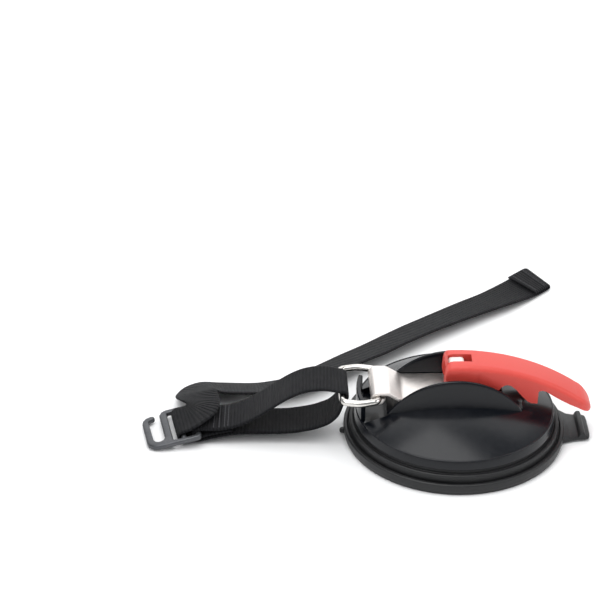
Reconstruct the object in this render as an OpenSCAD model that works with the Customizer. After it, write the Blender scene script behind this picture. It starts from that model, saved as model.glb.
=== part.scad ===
// Lever-locked vacuum cup with an anchor plate, a ring and a tie-down strap.
// The origin is the middle of the suction face, +Z up, +X towards the pull tab.

/* [Suction pad] */
// Diameter of the pad over its lip
pad_d = 120.6; // [100:0.2:145]
// Height of the outer lip
lip_h = 6.3; // [4:0.1:8]
// Width of the lip's flat sealing face
seal_w = 7.6; // [4:0.1:10]
// Distance from the lip's outside to the bead's outside
bead_inset = 3.1; // [2:0.1:5]
// Height of the bead inside the lip
bead_h = 10.2; // [8:0.1:12]
// Height of the shoulder that the housing presses on
shoulder_h = 12.1; // [11:0.1:14]
// Thickness of the rubber between the shoulder and the middle
membrane_t = 3.4; // [2.5:0.1:4.5]
// Length of the pull tab beyond the lip
tab_l = 12.4; // [8:0.2:18]
// Width of the pull tab
tab_w = 27; // [18:0.5:34]
// Thickness of the pull tab
tab_t = 3; // [2:0.1:4]

/* [Housing] */
// How far the skirt's lower edge is inside the pad's lip
skirt_inset = 5.3; // [4:0.1:8]
// Height of the skirt
skirt_h = 5.2; // [4:0.1:8]
// How far the skirt leans in over its height
skirt_lean = 1.25; // [0.5:0.05:2]
// Wall of the dome and of the skirt
shell_t = 2.7; // [2:0.1:3.5]
// Rise of the dome above the skirt
dome_rise = 11.5; // [9:0.5:14]
// Distance between the two fins
fin_gap = 28.6; // [26:0.1:34]
// Thickness of a fin at its top
fin_t = 2; // [1.5:0.1:3]
// Thickness of a fin where it meets the dome
fin_foot = 3.9; // [3:0.1:5]
// Distance from the housing's rim in to the foot of the fins' round outline
fin_inset = 10.75; // [9:0.25:14]
// Height of the fins' tops above the floor
fin_top = 43; // [42:0.2:45]
// Width of the end wall below the ring
wall_w = 28; // [20:0.5:30]

/* [Anchor plate and ring] */
// Thickness of the steel plate
plate_t = 2; // [1.5:0.1:2.5]
// Clearance between the plate's edge and a fin
plate_gap = 0.5; // [0.3:0.1:3]
// Distance from the housing's rim in to the ring's eye
eye_inset = 10.85; // [7.8:0.05:11.5]
// Height of the eye's axis
eye_z = 31.2; // [30.8:0.1:33]
// Diameter of the ring's wire
wire_d = 3.8; // [3:0.1:4.2]
// Distance between the ring's two bars
ring_l = 19.2; // [16:0.2:24]
// How much wider the ring is than the plate
ring_extra = 11; // [9:0.2:14]
// Radius of the ring's corners
ring_corner = 3.2; // [2.2:0.1:4]

/* [Lever] */
// Height of the lever's pin above the floor
pin_z = 40.5; // [39.5:0.1:42]
// Width of the lever
lever_w = 20; // [16:0.2:22]
// Distance from the pin to the lever's tip
lever_l = 74.2; // [60:0.2:90]
// Radius of the lever's arched back
back_r = 115; // [100:1:160]
// Wall of the lever
lever_wall = 2.4; // [1.8:0.1:3]
// Height of the lever's back above the pin
back_h = 7.8; // [7.4:0.1:9]
// Lift of the stem when the lever is locked
stroke = 3.8; // [2:0.1:4.5]
// Angle that the lever opens through
open_deg = 95; // [80:1:100]
// Diameter of the lever's pin
pin_d = 4; // [3:0.1:5]

/* [Stem] */
// Diameter of the stem
stem_d = 9; // [7:0.1:10]
// Diameter of the stem's moulded-in foot
foot_d = 26; // [20:0.5:32]
// Thickness of the stem's foot
foot_t = 2.4; // [1.8:0.1:3]
// Width of the stem's head between the lever's cams
head_w = 6.4; // [5:0.1:7]
// Length of the stem's head along the lever
head_l = 8.6; // [7:0.1:9]
// Height of the stem's head above the pin
head_h = 6.5; // [5:0.1:7]

/* [Strap] */
// Width of the webbing
web_w = 25; // [20:0.5:26]
// Thickness of the webbing
web_t = 1.5; // [1.2:0.1:1.8]

/* [Buckle] */
// Thickness of the buckle's bars
buckle_t = 3; // [2:0.1:3.5]
// Room beside the webbing in the buckle's slots
slot_gap = 0.7; // [0.4:0.1:1.5]
// Width of the buckle's side rails
rail_w = 3; // [2:0.1:4]

/* [Hidden] */
run_gap = 0.06;                     // running clearance of a shaft in its hole
side_gap = 0.4;                     // clearance beside a moving piece
pad_r = pad_d / 2;
bead_r = pad_r - bead_inset;
skirt_r = pad_r - skirt_inset;
rim_r = skirt_r - skirt_lean;
rim_z = shoulder_h + skirt_h;
dome_z = rim_z + dome_rise;
dome_r = (rim_r * rim_r + dome_rise * dome_rise) / (2 * dome_rise);
fin_y = fin_gap / 2;
fin_r = rim_r - fin_inset;
fin_bow = 200;
fin_lean = (fin_foot - fin_t) / (fin_top - 28);
plate_w = fin_gap - 2 * plate_gap;
eye_x = rim_r - eye_inset;
bed_z = dome_z - 0.9;               // bed that the plate lies on
bed_l = eye_x - 12.9;               // the bed reaches this far to the eye side
bed_r = 25.5;                       // and this far to the tab side
ramp_z = dome_z - 4.9;              // height of the ramp's low end, where it meets the dome
ramp_x = sqrt(pow(dome_r, 2) - pow(dome_r + ramp_z - dome_z, 2));
ramp_l = floor(2 * (ramp_x - bed_r)) / 2;
plate_top = bed_z + plate_t;
cam_low = pin_z - plate_top;        // pin to plate, locked
cam_rate = stroke / (open_deg * PI / 180);
head_gap = head_w + 2 * side_gap;
eye_in = wire_d / 2 + run_gap;
ring_w = max(plate_w, web_w + 2.6) + ring_extra;
corner_r = min(ring_corner, (ring_extra - wire_d) / 2 - 0.3);
ring_x = -eye_x - ring_l;           // the ring's outer bar
$fn = 96;

// A flat outline in the X-Z plane, given a thickness across Y.
module across(y0, y1) {
    translate([0, y1, 0]) rotate([90, 0, 0]) linear_extrude(y1 - y0) children();
}

// ---------- suction pad ----------
foot_z = 9.4;                       // underside of the stem's foot
boss_r = foot_d / 2 + 4;
boss_z = foot_z + foot_t + 1.8;

module pad_outline() {
    polygon([
        [0, 7.2], [20, 7], [36, 6.2], [46, 4.2], [pad_r - seal_w - 1, 1], [pad_r - seal_w, 0],
        [pad_r - 0.9, 0], [pad_r - 0.3, 0.6], [pad_r, 3], [pad_r, lip_h - 0.7],
        [pad_r - 0.7, lip_h], [pad_r - 1.8, lip_h], [bead_r + 0.7, lip_h - 0.8],
        [bead_r + 0.1, lip_h - 0.5], [bead_r, 8], [bead_r - 0.4, bead_h - 0.6],
        [bead_r - 1.2, bead_h], [bead_r - 2, bead_h - 0.3], [skirt_r - 0.8, bead_h - 0.9],
        [skirt_r - 0.9, shoulder_h], [skirt_r - 3.6, shoulder_h],
        [46, 4.2 + membrane_t + 1], [36, 6.2 + membrane_t], [boss_r + 3, 7 + membrane_t],
        [boss_r, boss_z], [0, boss_z]]);
}

module tab_outline() {
    translate([pad_r - 6, -tab_w / 2]) square([tab_l, tab_w]);
    translate([pad_r - 6 + tab_l, 0]) scale([6 / (tab_w / 2), 1]) circle(tab_w / 2);
}

module suction_pad() {
    color([0.06, 0.06, 0.065]) difference() {
        union() {
            rotate_extrude() pad_outline();
            difference() {
                union() {
                    translate([0, 0, 1]) linear_extrude(tab_t) tab_outline();
                    // grip rib across the end of the tab
                    translate([pad_r + tab_l - 4.2, -tab_w / 2 + 3, 1]) cube([3.4, tab_w - 6, 7]);
                }
                translate([0, 0, -1]) cylinder(h = 12, r = pad_r - 2);
            }
        }
        // pocket of the stem's foot, and the hole for the stem
        translate([0, 0, foot_z - run_gap]) cylinder(h = foot_t + 2 * run_gap, d = foot_d + 2 * run_gap);
        translate([0, 0, foot_z]) cylinder(h = 20, d = stem_d + 2 * run_gap);
    }
}

// ---------- housing ----------
module dome(r) {
    translate([0, 0, dome_z - dome_r]) sphere(r, $fn = 192);
}

// The outside of a fin bulges in plan and leans in towards the top.
module fin() {
    intersection() {
        across(-fin_y - fin_foot - 2, -fin_y) translate([-1, fin_top - fin_r])
            circle(fin_r, $fn = 180);
        translate([-1, fin_bow - fin_y - fin_foot, bed_z - 20])
            cylinder(h = 60, r1 = fin_bow + 20 * fin_lean, r2 = fin_bow - 40 * fin_lean, $fn = 240);
    }
}

module housing() {
    color([0.05, 0.05, 0.055]) difference() {
        union() {
            // skirt
            difference() {
                translate([0, 0, shoulder_h]) cylinder(h = skirt_h, r1 = skirt_r, r2 = rim_r);
                translate([0, 0, shoulder_h - 1]) cylinder(h = skirt_h + 2, r = rim_r - shell_t);
            }
            // dome, fins, bed, ramp and the block round the ring's pocket
            difference() {
                intersection() {
                    union() {
                        dome(dome_r);
                        fin();
                        mirror([0, 1, 0]) fin();
                        across(-fin_y, fin_y) polygon([[-bed_l, 10], [-bed_l, bed_z], [bed_r, bed_z],
                            [bed_r + ramp_l, ramp_z], [bed_r + ramp_l, 10]]);
                    }
                    cylinder(h = 80, r = rim_r);
                }
                dome(dome_r - shell_t);
                translate([0, 0, rim_z - 60]) cylinder(h = 60 - shell_t, r = rim_r + 1);
            }
            intersection() {
                dome(dome_r);
                translate([0, 0, 13]) cylinder(h = 20, r = rim_r - 0.5);
                translate([-rim_r, -fin_y - 4.2, 13]) cube([18, fin_gap + 8.4, 20]);
            }
            // end wall under the ring
            intersection() {
                difference() {
                    translate([0, 0, rim_z - 1])
                        cylinder(h = eye_z - wire_d / 2 - 0.1 - rim_z + 1, r = rim_r);
                    cylinder(h = 60, r = rim_r - 2.5);
                }
                translate([-rim_r - 1, -wall_w / 2, 0]) cube([20, wall_w, 60]);
            }
            // guide of the stem
            difference() {
                translate([0, 0, boss_z + 1.6]) cylinder(h = bed_z - boss_z - 2, r = stem_d / 2 + 3);
                cylinder(h = 60, d = stem_d);
            }
        }
        // the dome is cut level between the fins
        across(-fin_y, fin_y) polygon([[-bed_l, bed_z], [bed_r, bed_z], [bed_r + ramp_l, ramp_z],
            [bed_r + ramp_l + 1, 60], [-bed_l, 60]]);
        // pocket under the ring's eye
        translate([-rim_r + 2.5, -fin_y - 2.2, 15.5]) cube([eye_inset + 2.4, fin_gap + 4.4, 30]);
        // pocket in the bed, behind the lever's tooth
        translate([19.5, -fin_y + 4, bed_z - 4]) cube([5.4, fin_gap - 8, 10]);
        cylinder(h = 60, d = stem_d + 2 * run_gap);
    }
}

// ---------- anchor plate ----------
module anchor_plate() {
    eye_out = eye_in + plate_t;
    step_x = -eye_x + 5;
    foot_x = 1 - bed_l;
    top_z = eye_z + eye_out - 0.2;
    color([0.78, 0.77, 0.75]) difference() {
        union() {
            translate([-eye_x, 0, eye_z]) rotate([90, 0, 0])
                cylinder(h = plate_w, r = eye_out, center = true);
            across(-plate_w / 2, plate_w / 2) polygon([[-eye_x + 1, top_z], [step_x, top_z],
                [foot_x, plate_top], [14, plate_top], [14, bed_z], [foot_x - 0.6, bed_z],
                [step_x - 0.6, top_z - plate_t], [-eye_x + 1.5, top_z - plate_t]]);
        }
        translate([-eye_x, 0, eye_z]) rotate([90, 0, 0])
            cylinder(h = plate_w + 2, r = eye_in, center = true);
        // the curl stays open by a narrow slit
        translate([-eye_x + eye_in - 1, -plate_w, eye_z + 0.3]) cube([plate_t + 2, 2 * plate_w, 0.8]);
        translate([0, 0, bed_z - 1]) cylinder(h = plate_t + 2, d = stem_d + 1.6);
    }
}

// ---------- stem, pin and lever ----------
module pad_stem() {
    color([0.93, 0.91, 0.87]) difference() {
        union() {
            translate([0, 0, foot_z]) cylinder(h = foot_t, d = foot_d);
            translate([0, 0, foot_z]) cylinder(h = plate_top - 0.5 - foot_z, d = stem_d);
            // flat neck that can sink through the plate, and the head above it
            intersection() {
                translate([0, 0, plate_top - 2]) cylinder(h = stroke + 3.4, d = stem_d);
                translate([-10, -head_w / 2, 0]) cube([20, head_w, pin_z]);
            }
            intersection() {
                across(-head_w / 2, head_w / 2) union() {
                    translate([-head_l / 2, plate_top + stroke + 0.3])
                        square([head_l, pin_z + head_h - 2 - plate_top - stroke - 0.3]);
                    translate([-head_l / 2 + 1.6, pin_z]) square([head_l - 3.2, head_h]);
                    for (s = [-1, 1]) translate([s * (head_l / 2 - 2), pin_z + head_h - 2]) circle(2);
                }
                translate([-10, -10, 0]) cube([20, 20, pin_z + head_h]);
            }
        }
        translate([0, -10, pin_z]) rotate([-90, 0, 0]) cylinder(h = 20, d = pin_d + 2 * run_gap);
    }
}

module pivot_pin() {
    pin_l = lever_w - 0.4;
    color([0.8, 0.79, 0.77]) translate([0, -pin_l / 2, pin_z]) rotate([-90, 0, 0])
        cylinder(h = pin_l, d = pin_d);
}

// The cam keeps the plate at a distance that falls evenly as the lever opens.
function cam_point(a) =
    let (p = cam_low - 0.05 - cam_rate * a * PI / 180)
    [-p * sin(a) + cam_rate * cos(a), -p * cos(a) - cam_rate * sin(a)];
function back_point(x) = [x, back_h - back_r + sqrt(back_r * back_r - x * x)];

tip_x = lever_l;
tip_back = lever_l - 8;             // where the back turns down into the tip
tip_z = back_point(tip_back)[1];    // and its height there
// Underside between the claw and the tip, as shares of the way along and down.
function under_point(u, v) = [48 + u * (tip_x - 56.2), -8.2 + v * (tip_z + 2.5)];

module lever_outline() {
    polygon(concat(
        [for (a = [0:open_deg / 10:open_deg]) cam_point(a)],
        [[-cam_low + stroke + 0.5, 3.6], [-cam_low + stroke + 1.2, 6.2], [-3, back_h - 0.1]],
        [for (x = [2:8:tip_back]) back_point(x)],
        [back_point(tip_back), [tip_x - 3.4, tip_z - 3.3], [tip_x - 1.2, tip_z - 6.1],
         [tip_x, tip_z - 8.6], [tip_x - 0.8, tip_z - 9.6], [tip_x - 2.4, tip_z - 9.5],
         [tip_x - 8.2, tip_z - 5.7], under_point(0.76, 0.825), under_point(0.228, 0.272),
         [48, -8.2], [43.8, -7.8], [44, -15.9], [40.4, -15.9],
         [35.4, -11.2], [31.6, -6.5], [28.6, -4.2], [25.4, -4], [23.6, -6], [22, -8.4],
         [14, -9.4], [11, 0.05 - cam_low]]));
}

module lever_hollow() {
    polygon(concat(
        [[11, -20], [11, back_h - lever_wall]],
        [for (x = [11:8:tip_back]) back_point(x) - [0, lever_wall]],
        [[tip_x - 5.4, tip_z - 5], [tip_x - 3.6, tip_z - 7.4], [tip_x - 2.9, tip_z - 11],
         [tip_x - 2.9, tip_z - 40], [11, tip_z - 40]]));
}

// Lever seen from above, with a round tip.
module lever_plan() {
    tip_r = lever_w * 0.36;
    polygon(concat([[-30, -lever_w / 2]],
        [for (s = [-1, 1], i = [0:8]) let (a = s < 0 ? -90 + i * 90 / 8 : i * 90 / 8)
            [tip_x - tip_r + tip_r * cos(a), s * (lever_w / 2 - tip_r) + tip_r * sin(a)]],
        [[-30, lever_w / 2]]));
}

module lever() {
    color([0.87, 0.16, 0.13]) translate([0, 0, pin_z]) difference() {
        intersection() {
            across(-lever_w, lever_w) lever_outline();
            translate([0, 0, -60]) linear_extrude(120) lever_plan();
        }
        across(-lever_w / 2 + lever_wall, lever_w / 2 - lever_wall) lever_hollow();
        // slot for the stem's head, and the window above it
        across(-head_gap / 2, head_gap / 2) polygon([[-30, -30], [12, -30], [12, 4.2],
            [8.2, 5.4], [8.2, 20], [-4.8, 20], [-4.8, 5.4], [-30, 5.4]]);
        translate([0, -20, 0]) rotate([-90, 0, 0]) cylinder(h = 40, d = pin_d + 2 * run_gap);
    }
}

// ---------- ring ----------
module wire(l) {
    cylinder(h = l, d = wire_d, center = true, $fn = 48);
}

module d_ring() {
    bar_l = ring_w - wire_d - 2 * corner_r;
    side_l = ring_l - 2 * corner_r;
    side_y = (ring_w - wire_d) / 2;
    color([0.8, 0.79, 0.77]) translate([-eye_x - ring_l / 2, 0, eye_z]) {
        for (s = [-1, 1]) {
            translate([s * ring_l / 2, 0, 0]) rotate([90, 0, 0]) wire(bar_l);
            translate([0, s * side_y, 0]) rotate([0, 90, 0]) wire(side_l);
        }
        for (q = [0:3]) mirror([q % 2, 0, 0]) mirror([0, floor(q / 2), 0])
            translate([side_l / 2, bar_l / 2, 0])
                rotate_extrude(angle = 90) translate([corner_r, 0]) circle(d = wire_d, $fn = 48);
    }
}

// ---------- places of the buckle's bars ----------
buckle_turn = 9;                    // its bars are turned in plan
buckle_rise = 10;                   // and it slopes up to the webbing
function on_buckle(a, up) =
    [-168.8 + (a * cos(buckle_rise) - up * sin(buckle_rise)) * cos(buckle_turn),
     -0.5 + (a * cos(buckle_rise) - up * sin(buckle_rise)) * sin(buckle_turn),
     a * sin(buckle_rise) + up * cos(buckle_rise)];
bar_d = buckle_t;
slot_w = web_w + 2 * slot_gap;
strap_x = ring_x + 62.1;            // strap and buckle are laid out for a ring bar at -62.1
mid_bar = on_buckle(20.2, buckle_t / 2);
end_bar = on_buckle(28.2, buckle_t / 2);

// ---------- strap ----------
function unit(v) = v / norm(v);
function far_edge(p, turn) = p + web_w / 2 * [-sin(turn), cos(turn), 0];
// Across line of the webbing: [far edge, near edge].
function line(p, turn) = [far_edge(p, turn), 2 * p - far_edge(p, turn)];
function tail_line(v) = [[v[0], v[1], v[2]],
    [v[0], v[1], v[2]] + web_w * [cos(v[4]) * cos(v[3]), cos(v[4]) * sin(v[3]), sin(v[4])]];
// Half turn of webbing round a bar, from one angle to another, seen along +Y.
function wrap(c, r, a0, a1, turn) = [for (i = [0:6]) let (a = a0 + (a1 - a0) * i / 6)
    line([c[0] + r * cos(a) * cos(turn), c[1] + r * cos(a) * sin(turn), c[2] + r * sin(a)], turn)];

ring_wrap = wire_d / 2 + 0.3 + web_t / 2;
bar_wrap = bar_d / 2 + 0.3 + web_t / 2;
loop_room = 0.4;                    // slack round the middle bar, which the buckle swings in
// far edge x, y, z; then the across line's direction in plan and its slope
tail = [[-147.5, 15, 9.2, -81, 1.5], [-146.3, 16.5, 9.8, -67, 6.5], [-147.3, 18.5, 9.8, -47, 9],
    [-149.5, 21.5, 8.8, -28, 11], [-151.5, 26, 7, -16, 13], [-152.3, 31.5, 4.8, -13, 17],
    [-151.2, 38, 2.6, -22, 20], [-147.5, 45.5, 1.4, -42, 21], [-138.6, 51, 1.2, -68, 21],
    [-127, 50.4, 1.2, -84, 20], [-110, 49.5, 1.2, -88, 20], [-100, 51, 1.2, -80, 20],
    [-90, 54.5, 1.2, -70, 19], [-80, 61, 1.2, -59, 19], [-70, 69, 1.2, -53, 18], [-58, 78.8, 1.1, -51, 18],
    [-46, 88, 1, -51, 17], [-34, 98, 1, -51, 17], [-21, 108.6, 1, -51, 16], [-9, 117.6, 1, -53, 15],
    [3.6, 127, 1, -53, 13], [16, 136, 1, -54, 11], [29, 145, 1, -53, 9], [42, 156, 1, -53, 4],
    [50, 163.5, 1, -56, 1], [58, 171, 1, -60, 0], [59.3, 171.8, 1.9, -60, 0], [58, 171, 2.7, -60, 0],
    [47.5, 161.2, 2.7, -55, 2]];

web_lines = concat(
    // sewn end, round the buckle's end bar and up to the ring
    [for (p = [[-121, 3.6, 8.6, -3], [-127.7, 3.8, 7], [-133, 4, 5.6], [-137.6, 3.9, 4.2]])
        line([p[0], p[1], p[2]], -2)],
    wrap(end_bar, bar_wrap, -60, -285, 9),
    [for (p = [[-133, 4, 8.7], [-127.7, 3.8, 8.9], [-121, 3.4, 10.5], [-116.7, 3, 12.2], [-111.5, 3, 14.7],
               [-106, 2.7, 18.3], [-100.5, 2.5, 22.4], [-95, 2.3, 26.5], [-90, 2, 30], [-84.5, 2, 32.7],
               [-79.5, 2, 34.2], [-74, 1.6, 35.1], [-69, 1, 35.2]]) line(p, -2.7)],
    // round the ring and back down to the buckle
    wrap([-62.1, 0.5, eye_z], ring_wrap, 105, -70, 0),
    [for (p = [[-62, 0.4, 24.5], [-64, 0.6, 19], [-68, 1, 14.4], [-73, 1.5, 11.6], [-79, 2, 9.4],
               [-90, 3, 7], [-100, 3.3, 6.6], [-110, 3.6, 6.5], [-120, 3.8, 6], [-127.7, 3.9, 4.7],
               [-133, 3.9, 3.4], [-138, 3.7, 2.3], [-144, 3.4, 1.9]]) line(p, -2)],
    wrap(mid_bar + [0, 0, loop_room], bar_wrap + loop_room, -80, -265, 9),
    // the tail turns off to the far side and lies on the ground
    [for (v = tail) tail_line(v)]);
module strap_webbing() {
    n = len(web_lines);
    corners = [for (i = [0:n - 1]) let (
        a = web_lines[max(i - 1, 0)], b = web_lines[min(i + 1, n - 1)], c = web_lines[i],
        nf = unit(cross(b[0] - a[0] + b[1] - a[1], c[0] - c[1])) * web_t / 2)
        each [c[0] + nf, c[1] + nf, c[1] - nf, c[0] - nf]];
    color([0.07, 0.07, 0.08]) translate([strap_x, 0, 0]) polyhedron(corners, concat(
        [[3, 2, 1, 0]],
        [for (i = [0:n - 2], k = [0:3]) let (q = (k + 1) % 4)
            each [[4 * i + k, 4 * i + q, 4 * i + 4 + q], [4 * i + k, 4 * i + 4 + q, 4 * i + 4 + k]]],
        [[4 * n - 4, 4 * n - 3, 4 * n - 2, 4 * n - 1]]), convexity = 10);
}

// One row of thread across the webbing, from z0 up to z1.
module stitch_row(c, turn, z0, z1) {
    translate([strap_x + c[0], c[1], z0]) rotate([0, 0, turn])
        translate([-0.25, -web_w / 2 + 1.5, 0]) cube([0.5, web_w - 3, z1 - z0]);
}

module loop_stitching() {
    color([0.09, 0.09, 0.1]) {
        stitch_row([-122.5, 3.6], -3, 7.4, 11.1);
        stitch_row([-125, 3.7], -3, 6.8, 10.4);
        stitch_row([-127.5, 3.8], -3, 6, 9.9);
    }
}

module hem_stitching() {
    hem = web_lines[len(web_lines) - 1];
    mid = (hem[0] + hem[1]) / 2;
    color([0.09, 0.09, 0.1]) {
        stitch_row(mid + [1.6, 1.2], 34, 0.6, 4.1);
        stitch_row(mid + [9, 6.6], 32, 0.4, 3.75);
    }
}

// ---------- buckle ----------
module buckle_plan() {
    out_w = slot_w / 2 + rail_w;
    difference() {
        polygon([[0.8, -out_w + 6], [3, -out_w + 2], [6, -out_w + 0.4], [9, -out_w], [28.2, -out_w],
                 [28.2, out_w], [14, out_w], [11.6, out_w - 1], [10.2, out_w - 3.5], [10.2, -out_w + 7.4],
                 [9.1, -out_w + 5.3], [6.8, -out_w + 4.4], [4.8, -out_w + 5.6], [3.9, -out_w + 8],
                 [3.6, 8.4], [4.6, 10.2], [6.6, 10.6], [7.6, 11.8], [7, 13.2], [5.4, 13.6], [2.6, 12.8],
                 [0.6, 10.6], [0, 8], [0, -out_w + 9]]);
        translate([14.4, -slot_w / 2]) square([20, slot_w]);
    }
}

module hook_buckle() {
    color([0.5, 0.5, 0.52]) translate(on_buckle(0, 0) + [strap_x, 0, 0])
    rotate([0, -buckle_rise, buckle_turn]) {
        linear_extrude(buckle_t) buckle_plan();
        for (a = [20.2, 28.2]) translate([a, 0, bar_d / 2]) rotate([90, 0, 0])
            cylinder(h = slot_w + 2 * rail_w, d = bar_d, center = true, $fn = 48);
    }
}

suction_pad();
housing();
anchor_plate();
pad_stem();
pivot_pin();
lever();
d_ring();
strap_webbing();
loop_stitching();
hem_stitching();
hook_buckle();
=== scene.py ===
import math
import bpy
import bmesh
import numpy as np
from mathutils import Matrix, Vector


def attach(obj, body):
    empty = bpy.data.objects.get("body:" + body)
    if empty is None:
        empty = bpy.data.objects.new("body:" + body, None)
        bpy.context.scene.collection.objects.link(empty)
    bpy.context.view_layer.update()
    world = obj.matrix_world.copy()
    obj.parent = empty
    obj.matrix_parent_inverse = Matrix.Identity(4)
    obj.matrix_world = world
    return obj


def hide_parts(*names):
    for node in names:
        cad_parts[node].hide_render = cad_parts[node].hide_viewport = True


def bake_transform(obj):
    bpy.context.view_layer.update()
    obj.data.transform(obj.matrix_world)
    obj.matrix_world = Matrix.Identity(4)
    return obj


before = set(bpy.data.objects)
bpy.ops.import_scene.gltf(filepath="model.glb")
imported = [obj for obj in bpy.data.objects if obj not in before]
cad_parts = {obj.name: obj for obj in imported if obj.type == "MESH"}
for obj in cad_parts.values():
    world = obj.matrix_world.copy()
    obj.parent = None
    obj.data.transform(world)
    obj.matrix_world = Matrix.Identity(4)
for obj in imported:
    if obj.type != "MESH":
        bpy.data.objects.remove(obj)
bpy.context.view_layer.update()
scene = bpy.context.scene
pi = math.pi

# ---------------------------------------------------------------- camera and room
look, side, rise = Vector((0.03735, 0.85537, -0.51668)), Vector((0.99905, -0.04362, 0.0)), Vector((0.02254,
    0.5162, 0.8562))
tilt = math.radians(0.62)
view_right = math.cos(tilt) * side + math.sin(tilt) * rise
view_up = math.cos(tilt) * rise - math.sin(tilt) * side
camera = bpy.data.objects.new("camera", bpy.data.cameras.new("camera"))
camera.data.lens, camera.data.sensor_width, camera.data.sensor_fit = 153.18, 36.0, "HORIZONTAL"
camera.matrix_world = Matrix((view_right, view_up, -look)).transposed().to_4x4()
camera.location = (-0.1355, -1.1586, 0.785)
scene.collection.objects.link(camera)
scene.camera = camera


def softbox(name, place, aim, size, power, tint=(1, 1, 1)):
    """Square area light at a place, turned towards aim."""
    lamp = bpy.data.objects.new(name, bpy.data.lights.new(name, "AREA"))
    lamp.data.energy, lamp.data.size, lamp.data.color = power, size, tint
    lamp.location = place
    lamp.rotation_mode = "QUATERNION"
    lamp.rotation_quaternion = (Vector(aim) - Vector(place)).to_track_quat("-Z", "Y")
    scene.collection.objects.link(lamp)
    return lamp


# ---------------------------------------------------------------- shapes
def interp(x, table):
    """Straight-line table lookup: table is [(x, y), ...]."""
    t = np.asarray(table, float)
    return np.interp(x, t[:, 0], t[:, 1])


def smooth_path(points, step):
    """Catmull-Rom curve through the rows of points, resampled to about equal steps; rows may hold any
    number of values."""
    p = np.asarray(points, float)
    q = np.vstack([2 * p[0] - p[1], p, 2 * p[-1] - p[-2]])
    t = np.linspace(0, 1, 24, endpoint=False)[:, None]
    out = []
    for a, b, c, d in zip(q[:-3], q[1:-2], q[2:-1], q[3:]):
        out.append(0.5 * (2 * b + (c - a) * t + (2 * a - 5 * b + 4 * c - d) * t ** 2 + (3 * b - a - 3 * c
            + d) * t ** 3))
    fine = np.vstack(out + [p[-1:]])
    run = np.r_[0, np.cumsum(np.linalg.norm(np.diff(fine[:, :3], axis=0), axis=1))]
    n = max(int(run[-1] / step), 2)
    s = np.linspace(0, run[-1], n + 1)
    return np.stack([np.interp(s, run, fine[:, k]) for k in range(fine.shape[1])], 1)


def filleted(points, radii, n=6, closed=True):
    """Polygon with each corner replaced by an arc of its radius, limited by the sides beside it."""
    p = np.asarray(points, float)
    radii = np.broadcast_to(np.asarray(radii, float), (len(p),))
    out = []
    for i in range(len(p)):
        if not closed and i in (0, len(p) - 1):
            out.append(p[i][None])
            continue
        a, b, c = p[i - 1], p[i], p[(i + 1) % len(p)]
        u, v = a - b, c - b
        lu, lv = np.linalg.norm(u), np.linalg.norm(v)
        u, v = u / lu, v / lv
        half = math.acos(float(np.clip(u @ v, -1, 1))) / 2
        if half > pi / 2 - 0.01 or radii[i] <= 0:
            out.append(b[None])
            continue
        t = min(radii[i] / math.tan(half), 0.48 * lu, 0.48 * lv)
        r = t * math.tan(half)
        mid = (u + v) / np.linalg.norm(u + v)
        centre = b + mid * r / math.sin(half)
        s, e = b + u * t - centre, b + v * t - centre
        w = math.acos(float(np.clip(s @ e / (r * r), -1, 1)))
        k = np.linspace(0, 1, n)[:, None]
        out.append(centre + (np.sin((1 - k) * w) * s + np.sin(k * w) * e) / math.sin(w))
    return np.vstack(out)


def loft(sections, ring=False):
    """Skin over closed sections (n, m, 3): quads between neighbours, and a flat cap at each end unless it
    closes in a ring."""
    s = np.asarray(sections, float)
    n, m = s.shape[:2]
    i, j = np.meshgrid(np.arange(n if ring else n - 1), np.arange(m), indexing="ij")
    i2, j2 = (i + 1) % n, (j + 1) % m
    quads = np.stack([i * m + j, i2 * m + j, i2 * m + j2, i * m + j2], -1).reshape(-1, 4).tolist()
    if not ring:
        quads += [list(range(m))[::-1], list(range((n - 1) * m, n * m))]
    return s.reshape(-1, 3), quads


def turned(profile, n=160, axis=(0, 0)):
    """Closed profile of (radius, height) turned about the vertical through axis."""
    p = np.asarray(profile, float)
    a = np.linspace(0, 2 * pi, n, endpoint=False)[:, None]
    return loft(np.stack([axis[0] + p[:, 0] * np.cos(a), axis[1] + p[:, 0] * np.sin(a), p[:, 1] + 0 * a], -1),
                ring=True)


def extruded(outline, y0, y1):
    """Outline in X-Z carried straight from y0 to y1."""
    p = np.asarray(outline, float)
    return loft(np.stack([np.stack([p[:, 0], np.full(len(p), y), p[:, 1]], -1) for y in (y0, y1)]))


def tube(path, radius, n=16, ring=True):
    """Round tube along a path of points; its sections turn with the path and keep +Z as their up."""
    p = np.asarray(path, float)
    t = np.roll(p, -1, 0) - np.roll(p, 1, 0) if ring else np.gradient(p, axis=0)
    t /= np.linalg.norm(t, axis=1)[:, None]
    up = np.array([0, 0, 1.0]) if abs(t[:, 2]).max() < 0.9 else np.array([0, 1.0, 0])
    b = np.cross(t, up)
    b /= np.linalg.norm(b, axis=1)[:, None]
    c = np.cross(b, t)
    a = np.linspace(0, 2 * pi, n, endpoint=False)
    return loft(p[:, None] + radius * (np.cos(a)[None, :, None] * b[:, None] + np.sin(a)[None, :, None]
                                       * c[:, None]), ring)


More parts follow.
